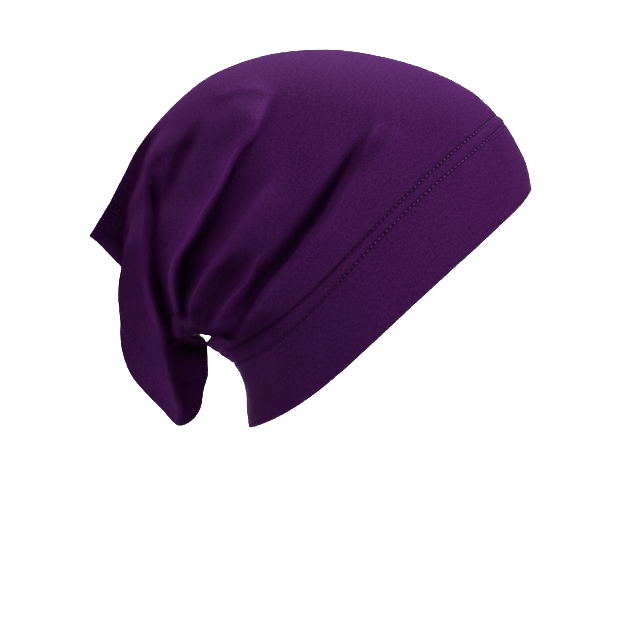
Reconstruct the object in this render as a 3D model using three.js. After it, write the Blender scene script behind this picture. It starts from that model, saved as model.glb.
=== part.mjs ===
// A pre-tied headscarf: one tube of stretch jersey, drawn over the head and gathered at the nape.
// Millimetres. +X is the way the wearer faces, +Z is up, and the near side is at -Y.
// The origin is the inside of the crown's top, where the head seats.
//
// The cloth is one smooth tube, lofted through sections from the face rim to the tail's rim.
// Folds are ridges and grooves that run over it from the crown down to the nape.
// The tube is parted at the two hem seams into front_band, crown_tube and tail_hem.

import * as THREE from 'three';

// Cloth
const CROWN_WALL = 1.4;     // one layer of jersey with its nap
const BAND_WALL = 2.4;      // two layers, the turned hem round the face
const HEM_WALL = 2.4;       // two layers, the turned hem round the tail
const SEAM_GAP = 0.3;       // between the edges of two pieces that meet at a seam

// Mesh
const AROUND = 56;          // steps round the tube
const LOW_SIDE_BIAS = 0.35; // how much closer the steps lie under the nape than over the top
const PATH_STEPS = 32;      // straight pieces that stand for one fold's curved path
const NORMAL_PASSES = 2;    // how often the cloth's normals are evened out before the wall is laid

// Folds
const TOP_FADE = 0.5;       // sine of the angle over which folds die out at the centre line

// Each section crosses the tube in a tilted plane, from a point on the top line to one on the low
// line. bow45, bow90 and bow135 say how far it swings to the rear of that chord at three angles
// round the tube. halfWidth is its reach to each side, low moves its widest place down the chord,
// and shift moves its top sideways. steps counts the mesh's rows up to the next section.
const SECTIONS = [
  { name: 'face_rim',    top: [123, -79],      foot: [-41.5, -217.5], bow45: -4,   bow90: -7,   bow135: -7.7,
    halfWidth: 74,   low: 0,     shift: 0,  steps: 2 },
  { name: 'band_middle', top: [119, -62.5],    foot: [-43.5, -199],   bow45: -3,   bow90: -5,   bow135: -7.5,
    halfWidth: 75.5, low: 0,     shift: 0,  steps: 2 },
  { name: 'band_stitch', top: [107.5, -41.5],  foot: [-52.5, -181],   bow45: -0.5, bow90: -3.2, bow135: -8,
    halfWidth: 76,   low: 0,     shift: 0,  steps: 1 },
  { name: 'band_seam',   top: [103, -36.5],    foot: [-59, -175],     bow45: 0,    bow90: -4.8, bow135: -7.5,
    halfWidth: 76,   low: 0,     shift: 0,  steps: 2 },
  { name: 'forehead',    top: [86, -21.5],     foot: [-66, -169.5],   bow45: 0,    bow90: -3.5, bow135: -6,
    halfWidth: 76.5, low: -0.02, shift: 0,  steps: 3 },
  { name: 'crown_front', top: [58, -8.5],      foot: [-63.5, -165.5], bow45: -0.5, bow90: -6,   bow135: -3,
    halfWidth: 76.5, low: -0.03, shift: 0,  steps: 5 },
  { name: 'crown_mid',   top: [23, 0],         foot: [-65.5, -164.5], bow45: -2,   bow90: -7,   bow135: 1,
    halfWidth: 76,   low: -0.03, shift: 0,  steps: 5 },
  { name: 'crown_top',   top: [-6, 1.5],       foot: [-68, -164],     bow45: -3,   bow90: -6,   bow135: 7,
    halfWidth: 73,   low: 0,     shift: 0,  steps: 5 },
  { name: 'crown_rear',  top: [-35, -2.5],     foot: [-70.5, -163.5], bow45: -2,   bow90: 2,    bow135: 14,
    halfWidth: 68,   low: 0.05,  shift: 0,  steps: 5 },
  { name: 'slouch_high', top: [-64, -14],      foot: [-72, -163.5],   bow45: 1,    bow90: 9,    bow135: 18.5,
    halfWidth: 60,   low: 0.15,  shift: -2, steps: 5 },
  { name: 'slouch_low',  top: [-86, -32],      foot: [-73, -163.5],   bow45: 0,    bow90: 13,   bow135: 16,
    halfWidth: 54,   low: 0.25,  shift: -5, steps: 4 },
  { name: 'tail_top',    top: [-104, -53.5],   foot: [-67.5, -168],   bow45: -2.5, bow90: 15,   bow135: 18.5,
    halfWidth: 47,   low: 0.35,  shift: -8, steps: 4 },
  { name: 'tail_middle', top: [-113.5, -71],   foot: [-65.5, -175.5], bow45: -4.5, bow90: 17.5, bow135: 21,
    halfWidth: 43,   low: 0.4,   shift: -8, steps: 4 },
  { name: 'tail_seam',   top: [-122, -87.5],   foot: [-65, -188.5],   bow45: -5.2, bow90: 17,   bow135: 20.5,
    halfWidth: 41,   low: 0.4,   shift: -8, steps: 3 },
  { name: 'tail_rim',    top: [-133.5, -106.5], foot: [-68, -197],     bow45: -4.5,  bow90: 15.5, bow135: 21,
    halfWidth: 39,   low: 0.4,   shift: -8, steps: 0 },
];
const FACE_RIM = 0;
const BAND_SEAM = 3;
const TAIL_SEAM = 13;
const TAIL_RIM = 14;

// Each fold follows a path in the side view, from its high end to its low end. height is positive
// for a ridge and negative for a groove. rear and front are its widths on either side, and fadeIn
// and fadeOut are the shares of the path over which it grows and dies away.
const NEAR_FOLDS = [
  { name: 'brow_groove', height: -14, rear: 15, front: 4.5, fadeIn: 0.2,  fadeOut: 0.08,
    path: [[34, -42], [9.6, -79.5], [-5, -99.5], [-21.9, -121.1], [-37.1, -143], [-48.9, -154.3],
      [-57.9, -161]] },
  { name: 'brow_ridge',  height: 4,   rear: 4.5, front: 15, fadeIn: 0.2,  fadeOut: 0.08,
    path: [[34.5, -40], [11.8, -75.6], [-3, -96], [-20.8, -119.4], [-34.5, -142], [-45, -153],
      [-54.5, -160]] },
  { name: 'brow_crease', height: -2,  rear: 3.5, front: 4,  fadeIn: 0.4,  fadeOut: 0.4,
    path: [[41.5, -44], [33, -57], [23.6, -71.3], [15, -87]] },
  { name: 'panel_arc',   height: 3,   rear: 4.5, front: 12, fadeIn: 0.35, fadeOut: 0.3,
    path: [[-66, -33], [-53, -25.5], [-37, -23.5], [-20, -29.5]] },
  { name: 'mid_ridge',   height: 8,   rear: 6,   front: 10, fadeIn: 0.4,  fadeOut: 0.12,
    path: [[-16, -68], [-30.9, -87.9], [-47.8, -105.9], [-59, -116], [-66.3, -127.3],
      [-71.9, -138.5], [-74, -153]] },
  { name: 'mid_groove',  height: -6,  rear: 5,   front: 6,  fadeIn: 0.4,  fadeOut: 0.1,
    path: [[-39.5, -107.5], [-47.9, -118.7], [-58.1, -132.8], [-64.3, -139.6], [-66, -148.6],
      [-67.7, -156.5]] },
  { name: 'inner_ridge', height: 4,   rear: 5,   front: 4,  fadeIn: 0.35, fadeOut: 0.1,
    path: [[-32, -124], [-41.7, -134.5], [-48, -139.5], [-51.5, -144.1], [-54.7, -150.3],
      [-59.5, -159.5]] },
  { name: 'panel_ridge', height: 11,  rear: 17,  front: 4,  fadeIn: 0.2,  fadeOut: 0.1,
    path: [[-22, -20], [-28, -34.5], [-42.3, -56], [-55.3, -76.4], [-70.5, -104.1],
      [-81.8, -121.6], [-83.5, -136], [-80, -151], [-73, -159]] },
  { name: 'pocket',      height: -15, rear: 4.5, front: 11, fadeIn: 0.45, fadeOut: 0.12,
    path: [[-24, -42], [-38, -62], [-51, -84], [-64, -106], [-74.5, -121], [-79, -136],
      [-74, -154]] },
  { name: 'flap_groove', height: -13, rear: 4,   front: 5,  fadeIn: 0.25, fadeOut: 0.08,
    path: [[-67.7, -39.8], [-81.2, -59.5], [-88.4, -80], [-93, -95], [-92.6, -117.6],
      [-90.6, -132.6], [-88.2, -146], [-84, -163]] },
  { name: 'flap_ridge',  height: 6,   rear: 9,   front: 4,  fadeIn: 0.2,  fadeOut: 0.02,
    path: [[-60, -27.5], [-79, -51], [-96, -71], [-96.6, -95], [-95.2, -117.6], [-93, -132.6],
      [-90.6, -151], [-87.5, -169], [-84, -190], [-77, -210]] },
  { name: 'flap_back',   height: 3,   rear: 4,   front: 9,  fadeIn: 0.2,  fadeOut: 0.15,
    path: [[-88, -40], [-97, -58.5], [-104, -73], [-109, -87], [-113, -101], [-117, -124]] },
  { name: 'flap_edge',   height: -12, rear: 17.5, front: 4, fadeIn: 0.2,  fadeOut: 0.1,
    path: [[-90, -37], [-104, -59.5], [-114, -84.5], [-119, -112.5], [-122, -144]] },
  { name: 'lobe_ridge',  height: 4,   rear: 6,   front: 5,  fadeIn: 0.5,  fadeOut: 0.1,
    path: [[-22, -136], [-37.2, -146.4], [-47.7, -155.4], [-61.5, -166.1]] },
  { name: 'lobe_groove', height: -4.5, rear: 4.5, front: 8, fadeIn: 0.5,  fadeOut: 0.1,
    path: [[-16, -142], [-29.9, -154.3], [-41.7, -165], [-54, -175.5]] },
];

const FAR_FOLDS = [
  { name: 'far_brow_groove',  height: -11, rear: 15,  front: 5,   fadeIn: 0.3,  fadeOut: 0.1,
    path: [[22, -50], [4, -82], [-20, -116], [-44, -142], [-61, -160.5]] },
  { name: 'far_mid_ridge',    height: 6,   rear: 10,  front: 7,   fadeIn: 0.35, fadeOut: 0.12,
    path: [[-12, -54], [-34, -86], [-54, -116], [-69, -140], [-75, -159]] },
  { name: 'far_mid_groove',   height: -10, rear: 5,   front: 9,   fadeIn: 0.35, fadeOut: 0.15,
    path: [[-8, -66], [-28, -96], [-48, -124], [-63, -145], [-70, -158]] },
  { name: 'far_panel_ridge',  height: 8,   rear: 16,  front: 4.5, fadeIn: 0.25, fadeOut: 0.1,
    path: [[-40, -24], [-62, -54], [-77, -90], [-85, -124], [-80, -156]] },
  { name: 'far_pocket',       height: -12, rear: 4.5, front: 9,   fadeIn: 0.35, fadeOut: 0.12,
    path: [[-34, -36], [-56, -68], [-70, -98], [-78, -128], [-77.5, -154]] },
  { name: 'far_flap_groove',  height: -8,  rear: 6,   front: 8,   fadeIn: 0.25, fadeOut: 0.5,
    path: [[-90, -62], [-99, -90], [-100, -118], [-95, -144], [-86, -163]] },
  { name: 'far_flap_ridge',   height: 5,   rear: 9,   front: 4,   fadeIn: 0.25, fadeOut: 0.05,
    path: [[-96, -60], [-106, -90], [-107, -120], [-101, -150], [-92, -182], [-84, -204]] },
  { name: 'far_lobe_ridge',   height: 3.5, rear: 5,   front: 5,   fadeIn: 0.4,  fadeOut: 0.1,
    path: [[-32, -150], [-50, -163], [-65, -168]] },
  { name: 'far_lobe_groove',  height: -4,  rear: 4,   front: 7,   fadeIn: 0.4,  fadeOut: 0.1,
    path: [[-22, -157], [-40, -169], [-55, -177]] },
];

// Places where the cloth hangs lower or stands out further than its sections do. section and
// angle say where, along and round the tube (degrees, positive on the near side), and by is the
// move in millimetres.
const PULLS = [
  { name: 'near_brow',   section: 0,    angle: 24,   along: 1.2, round: 16, by: [0, 0, -1.5] },
  { name: 'far_brow',    section: 0,    angle: -24,  along: 1.2, round: 16, by: [0, 0, -1.5] },
  { name: 'near_tip',    section: 14,   angle: 158,  along: 1.1, round: 20, by: [8, -3, -18.5] },
  { name: 'far_tip',     section: 14,   angle: -152, along: 1,   round: 14, by: [5, 0, 5] },
  { name: 'hem_turn',    section: 14,   angle: 45,   along: 1.2, round: 22, by: [0, 6, 0] },
  { name: 'hem_fold',    section: 13,   angle: 74,   along: 0.7, round: 24, by: [-8, -1, 0] },
  { name: 'rim_tuck',    section: 14,   angle: 62,   along: 0.8, round: 18, by: [4, 8, 0] },
  { name: 'hem_line',    section: 13,   angle: 118,  along: 0.6, round: 18, by: [0, 0, 7] },
  { name: 'near_corner', section: 13.6, angle: 58,   along: 2,   round: 24, by: [0, -4, -6] },
  { name: 'tail_cleft',  section: 12.2, angle: 164,  along: 2.3, round: 20, by: [-19, 8, 4] },
  { name: 'far_edge',    section: 11.6, angle: -158, along: 2.4, round: 15, by: [7, 0, 0] },
  { name: 'near_knob',   section: 9.8,  angle: 142,  along: 1,   round: 20, by: [0, -5, -4] },
  { name: 'knob',        section: 10.6, angle: 160,  along: 0.8, round: 15, by: [1, -7, -2] },
  { name: 'gather',      section: 7.4,  angle: 158,  along: 1.5, round: 14, by: [0, -10, -1] },
  { name: 'far_knob',    section: 9.8,  angle: -144, along: 1,   round: 20, by: [0, 2, -2] },
  { name: 'nape_puff',   section: 0.6,  angle: -166, along: 0.5, round: 10, by: [-3, 3, -1] },
];

const DEGREES = 180 / Math.PI;
const clamp01 = (x) => Math.min(Math.max(x, 0), 1);
const easeIn = (x) => clamp01(x) ** 2 * (3 - 2 * clamp01(x));

// A smooth curve through equally spaced values, at fractional place t (Catmull-Rom, with straight
// run-outs at both ends).
function through(values, t) {
  const last = values.length - 1;
  const i = Math.min(Math.floor(Math.min(Math.max(t, 0), last)), last - 1);
  const f = Math.min(Math.max(t, 0), last) - i;
  const [b, c] = [values[i], values[i + 1]];
  const a = i > 0 ? values[i - 1] : 2 * b - c;
  const d = i + 2 <= last ? values[i + 2] : 2 * c - b;
  return 0.5 * (2 * b + (c - a) * f + (2 * a - 5 * b + 4 * c - d) * f ** 2
    + (3 * b - a - 3 * c + d) * f ** 3);
}

// The smooth even wave of the angle that takes the given values at 0, 45, 90, 135 and 180 degrees.
function evenWave(values, angle) {
  const last = values.length - 1;
  const endShare = (k) => (k === 0 || k === last ? 0.5 : 1);
  let sum = 0;
  for (let k = 0; k <= last; k += 1) {
    let weight = 0;
    values.forEach((v, j) => {
      weight += endShare(j) * v * Math.cos(Math.PI * k * j / last);
    });
    sum += (2 / last) * weight * endShare(k) * Math.cos(k * angle);
  }
  return sum;
}

// One column of the section table, ready for the curve through all sections.
const column = (pick) => SECTIONS.map(pick);
const COLUMNS = {
  topX: column((s) => s.top[0]),
  topZ: column((s) => s.top[1]),
  footX: column((s) => s.foot[0]),
  footZ: column((s) => s.foot[1]),
  bow45: column((s) => s.bow45),
  bow90: column((s) => s.bow90),
  bow135: column((s) => s.bow135),
  halfWidth: column((s) => s.halfWidth),
  low: column((s) => s.low),
  shift: column((s) => s.shift),
};

// The tube without its folds and pulls.
function smoothTube(section, angle) {
  const at = (name) => through(COLUMNS[name], section);
  const chordX = at('footX') - at('topX');
  const chordZ = at('footZ') - at('topZ');
  const length = Math.hypot(chordX, chordZ);
  const down = (1 - Math.cos(angle)) / 2;
  const bow = evenWave([0, at('bow45'), at('bow90'), at('bow135'), 0], angle);
  return new THREE.Vector3(
    at('topX') + chordX * down + bow * chordZ / length,
    -at('halfWidth') * Math.sin(angle) * (1 - at('low') * Math.cos(angle))
      + at('shift') * (1 - down),
    at('topZ') + chordZ * down - bow * chordX / length,
  );
}

// The tube with its pulls, still without folds.
function pulledTube(section, angle) {
  const point = smoothTube(section, angle);
  for (const pull of PULLS) {
    const turn = THREE.MathUtils.euclideanModulo(angle * DEGREES - pull.angle + 180, 360) - 180;
    const share = Math.exp(-(((section - pull.section) / pull.along) ** 2)
      - (turn / pull.round) ** 2);
    point.addScaledVector(new THREE.Vector3(...pull.by), share);
  }
  return point;
}

// The straight pieces of a fold's path, each with its place along the whole.
function tracePath(path) {
  const xs = path.map((p) => p[0]);
  const zs = path.map((p) => p[1]);
  const points = [];
  for (let i = 0; i <= PATH_STEPS; i += 1) {
    const t = (path.length - 1) * i / PATH_STEPS;
    points.push(new THREE.Vector2(through(xs, t), through(zs, t)));
  }
  return points;
}

// How far a point of the side view lies from a path, which side it is on and how far along.
function nearest(points, x, z) {
  let best = { distance: Infinity, along: 0, rear: false };
  for (let i = 0; i < points.length - 1; i += 1) {
    const [p, q] = [points[i], points[i + 1]];
    const [dx, dz] = [q.x - p.x, q.y - p.y];
    const f = clamp01(((x - p.x) * dx + (z - p.y) * dz) / (dx * dx + dz * dz));
    const distance = Math.hypot(x - p.x - f * dx, z - p.y - f * dz);
    if (distance < best.distance) {
      const rear = dx * (z - p.y) - dz * (x - p.x) < 0;
      best = { distance, along: (i + f) / (points.length - 1), rear };
    }
  }
  return best;
}

const tracedFolds = (folds) => folds.map((fold) => ({ ...fold, points: tracePath(fold.path) }));
const FOLDS = { near: tracedFolds(NEAR_FOLDS), far: tracedFolds(FAR_FOLDS) };

// The summed height of one side's folds at a point of the side view.
function foldHeight(folds, x, z) {
  let height = 0;
  for (const fold of folds) {
    const { distance, along, rear } = nearest(fold.points, x, z);
    const width = rear ? fold.rear : fold.front;
    const fade = easeIn(along / fold.fadeIn) * easeIn((1 - along) / fold.fadeOut);
    height += fold.height * Math.exp(-((distance / width) ** 2)) * fade;
  }
  return height;
}

// The outward normal of a surface function, by small steps along and round the tube.
function outward(surface, section, angle) {
  const [ds, da] = [0.02, 0.01];
  const s = Math.min(Math.max(section, FACE_RIM + ds), TAIL_RIM - ds);
  const along = surface(s + ds, angle).sub(surface(s - ds, angle));
  const round = surface(section, angle + da).sub(surface(section, angle - da));
  return along.cross(round).normalize();
}

// The outer face of the finished cloth. Folds move it sideways only.
function cloth(section, angle) {
  const point = pulledTube(section, angle);
  const folds = Math.sin(angle) > 0 ? FOLDS.near : FOLDS.far;
  const fade = easeIn(Math.abs(Math.sin(angle)) / TOP_FADE);
  const height = foldHeight(folds, point.x, point.z) * fade;
  const normal = outward(pulledTube, section, angle);
  return point.add(new THREE.Vector3(0, normal.y * height, 0));
}

// Angles round the tube, starting at the top and closer together under the nape.
function anglesRound() {
  const angles = [];
  for (let j = 0; j < AROUND; j += 1) {
    const even = 2 * Math.PI * j / AROUND;
    angles.push(even + LOW_SIDE_BIAS * Math.sin(even));
  }
  return angles;
}

// Places along the tube between two sections, with each section's own count of steps.
function placesAlong(first, last) {
  const places = [];
  for (let s = first; s < last; s += 1) {
    for (let i = 0; i < SECTIONS[s].steps; i += 1) {
      places.push(s + i / SECTIONS[s].steps);
    }
  }
  places.push(last);
  return places;
}

// Normals of a grid of points that closes round the tube, evened out over its neighbours.
function gridNormals(grid) {
  const rows = grid.length;
  const point = (i, j) => grid[i][(j + AROUND) % AROUND];
  let normals = grid.map((row, i) => row.map((_, j) => {
    const along = point(Math.min(i + 1, rows - 1), j).clone().sub(point(Math.max(i - 1, 0), j));
    const round = point(i, j + 1).clone().sub(point(i, j - 1));
    return along.cross(round).normalize();
  }));
  for (let pass = 0; pass < NORMAL_PASSES; pass += 1) {
    const before = normals;
    const normal = (i, j) => before[Math.min(Math.max(i, 0), rows - 1)][(j + AROUND) % AROUND];
    normals = before.map((row, i) => row.map((own, j) => own.clone().multiplyScalar(2)
      .add(normal(i - 1, j)).add(normal(i + 1, j)).add(normal(i, j - 1)).add(normal(i, j + 1))
      .normalize()));
  }
  return normals;
}

// The whole tube's outer points and normals, from rim to rim.
const ANGLES = anglesRound();
const PLACES = placesAlong(FACE_RIM, TAIL_RIM);
const OUTER = PLACES.map((section) => ANGLES.map((angle) => cloth(section, angle)));
const NORMALS = gridNormals(OUTER);

// A closed wall of cloth between two places along the tube. An end that meets another piece is
// held back by half of the seam's gap.
function wall(first, last, thickness) {
  const from = PLACES.indexOf(first);
  const to = PLACES.indexOf(last);
  const outer = [];
  const inner = [];
  for (let i = from; i <= to; i += 1) {
    const atSeam = (i === from && from > 0) || (i === to && to < PLACES.length - 1);
    const next = i === from ? i + 1 : i - 1;
    ANGLES.forEach((_, j) => {
      const point = OUTER[i][j].clone();
      const normal = NORMALS[i][j];
      const depth = normal.clone().multiplyScalar(-thickness);
      if (atSeam) {
        const inwards = OUTER[next][j].clone().sub(point);
        point.addScaledVector(inwards, Math.min(SEAM_GAP / 2 / inwards.length(), 0.5));
      }
      outer.push(point);
      inner.push(point.clone().add(depth));
    });
  }
  const rows = to - from + 1;
  const positions = [...outer, ...inner].flatMap((p) => p.toArray());
  const index = [];
  const quad = (a, b, c, d) => index.push(a, b, c, a, c, d);
  const at = (layer, i, j) => layer * rows * AROUND + i * AROUND + (j % AROUND);
  for (let j = 0; j < AROUND; j += 1) {
    for (let i = 0; i < rows - 1; i += 1) {
      quad(at(0, i, j), at(0, i + 1, j), at(0, i + 1, j + 1), at(0, i, j + 1));
      quad(at(1, i, j), at(1, i, j + 1), at(1, i + 1, j + 1), at(1, i + 1, j));
    }
    quad(at(0, 0, j), at(0, 0, j + 1), at(1, 0, j + 1), at(1, 0, j));
    quad(at(0, rows - 1, j), at(1, rows - 1, j), at(1, rows - 1, j + 1), at(0, rows - 1, j + 1));
  }
  const geometry = new THREE.BufferGeometry();
  geometry.setAttribute('position', new THREE.Float32BufferAttribute(positions, 3));
  geometry.setIndex(index);
  geometry.computeVertexNormals();
  return geometry;
}

function jersey(red, green, blue, roughness) {
  const colour = new THREE.Color().setRGB(red, green, blue, THREE.SRGBColorSpace);
  return new THREE.MeshStandardMaterial({ color: colour, roughness, metalness: 0 });
}

function piece(name, geometry, material) {
  const mesh = new THREE.Mesh(geometry, material);
  mesh.name = name;
  return mesh;
}

const headscarf = new THREE.Group();
headscarf.name = 'headscarf';
headscarf.add(
  piece('front_band', wall(FACE_RIM, BAND_SEAM, BAND_WALL), jersey(0.27, 0.1, 0.32, 0.85)),
  piece('crown_tube', wall(BAND_SEAM, TAIL_SEAM, CROWN_WALL), jersey(0.25, 0.085, 0.3, 0.85)),
  piece('tail_hem', wall(TAIL_SEAM, TAIL_RIM, HEM_WALL), jersey(0.23, 0.08, 0.28, 0.85)),
);

export default headscarf;
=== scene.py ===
"""A pre-tied headscarf of fine purple jersey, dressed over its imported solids.

One tube of stretch cloth is lofted through sections from the front rim to the tail's rim. Folds
run over it from the crown down to the gather. It is parted at its two hem seams into the doubled
front band, the crown and the doubled tail hem. Two rows of stitches hold the band, one the hem.
"""

import logging
import math
from dataclasses import dataclass, field
from enum import Enum

import bpy
import numpy as np
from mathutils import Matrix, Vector


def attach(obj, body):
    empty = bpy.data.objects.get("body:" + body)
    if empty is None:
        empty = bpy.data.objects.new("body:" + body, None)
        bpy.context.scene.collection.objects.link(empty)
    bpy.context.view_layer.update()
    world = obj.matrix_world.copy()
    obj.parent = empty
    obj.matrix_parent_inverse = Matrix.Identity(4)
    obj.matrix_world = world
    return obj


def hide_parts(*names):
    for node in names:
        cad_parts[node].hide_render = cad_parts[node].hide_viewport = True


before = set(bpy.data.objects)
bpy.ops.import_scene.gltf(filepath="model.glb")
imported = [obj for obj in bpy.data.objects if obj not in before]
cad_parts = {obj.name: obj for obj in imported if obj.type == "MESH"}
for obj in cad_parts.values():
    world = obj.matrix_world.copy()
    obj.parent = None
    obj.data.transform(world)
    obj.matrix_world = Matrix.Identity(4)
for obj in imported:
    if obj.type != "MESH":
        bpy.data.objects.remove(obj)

log = logging.getLogger("headscarf")

MM = 0.001


class Side(Enum):
    """The two sides of the cap, by the sign of Y on each."""

    NEAR = -1
    FAR = 1


class Edge(Enum):
    """How a piece of cloth ends."""

    SEAM = "seam"
    TURNED = "turned"


class Held(Enum):
    """How a sheet of cloth is held."""

    STRETCHED = "stretched"
    HUNG = "hung"


@dataclass(frozen=True)
class Section:
    """A tilted cut through the tube, in millimetres.

    The bows say how far it swings to the rear of its chord at 45, 90 and 135 degrees round the
    tube, low moves its widest place down the chord, and shift moves its top sideways.
    """

    name: str
    top: tuple[float, float]
    foot: tuple[float, float]
    bows: tuple[float, float, float]
    half_width: float
    low: float = 0.0
    shift: float = 0.0


@dataclass(frozen=True)
class Fold:
    """A ridge (height above 0) or groove along a path of the side view, in millimetres.

    rear and front are its widths on either side, lean pushes it to the front (or to the rear,
    below 0) so that it hangs over, and crisp below 2 sharpens its crest. The tone paints a
    highlight on a ridge, as far as strip to either side of its crest, or paints shade into a
    groove (below 0).
    """

    name: str
    height: float
    rear: float
    front: float
    fade_in: float
    fade_out: float
    path: tuple[tuple[float, float], ...]
    lean: float = 0.0
    crisp: float = 2.0
    tone: float = 0.0
    strip: float = 3.5


@dataclass(frozen=True)
class Pull:
    """A place where the cloth hangs lower or stands out further than its sections do.

    It reaches along sections of the tube and round degrees, and its hollow value is painted shade
    laid there, to 1. A pull with no move is painted shade alone.
    """

    name: str
    section: float
    angle: float
    along: float
    round: float
    by: tuple[float, float, float]
    painted_shade: float = 0.0


SECTIONS: tuple[Section, ...] = (
    Section("front_rim", (123, -79), (-41.5, -217.5), (-4, -7, -7.7), 74),
    Section("band_middle", (119, -62.5), (-43.5, -199), (-3, -5, -7.5), 75.5),
    Section("band_stitch", (107.5, -41.5), (-52.5, -181), (-0.5, -3.2, -8), 76),
    Section("band_seam", (103, -36.5), (-59, -175), (0, -4.8, -7.5), 76),
    Section("crown_edge", (86, -21.5), (-66, -169.5), (0, -3.5, -6), 76.5, -0.02),
    Section("crown_front", (58, -8.5), (-63.5, -165.5), (-0.5, -6, -3), 76.5, -0.03),
    Section("crown_mid", (23, 0), (-65.5, -164.5), (-2, -7, 1), 76, -0.03),
    Section("crown_top", (-6, 1.5), (-68, -164), (-3, -6, 7), 73),
    Section("crown_rear", (-35, -2.5), (-70.5, -163.5), (-2, 2, 14), 68, 0.05),
    Section("slouch_high", (-64, -14), (-72, -163.5), (1, 9, 18.5), 60, 0.15, -2),
    Section("slouch_low", (-86, -32), (-73, -163.5), (0, 13, 16), 54, 0.25, -5),
    Section("tail_top", (-104, -53.5), (-67.5, -168), (-2.5, 15, 18.5), 47, 0.35, -8),
    Section("tail_middle", (-113.5, -71), (-65.5, -175.5), (-4.5, 17.5, 21), 43, 0.4, -8),
    Section("tail_seam", (-122, -87.5), (-65, -188.5), (-5.2, 17, 20.5), 41, 0.4, -8),
    Section("tail_rim", (-133.5, -106.5), (-68, -197), (-4.5, 15.5, 21), 39, 0.4, -8),
)
FRONT_RIM = 0
BAND_STITCH = 2
BAND_SEAM = 3
TAIL_SEAM = 13
TAIL_RIM = 14

PANEL_CREST: tuple[tuple[float, float], ...] = (
    (-25, -24.5), (-30, -31.5), (-34.5, -41.5), (-39, -49.5), (-45.5, -55.5), (-51.5, -65),
    (-57.5, -78), (-66, -92), (-72, -103), (-77.5, -111), (-83, -119.5), (-86, -128.5),
    (-86.5, -137.5), (-85, -146), (-83, -153), (-80, -160),
)

# Each fold's tone is painted shade in a groove or a painted highlight along a ridge's crest.
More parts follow.
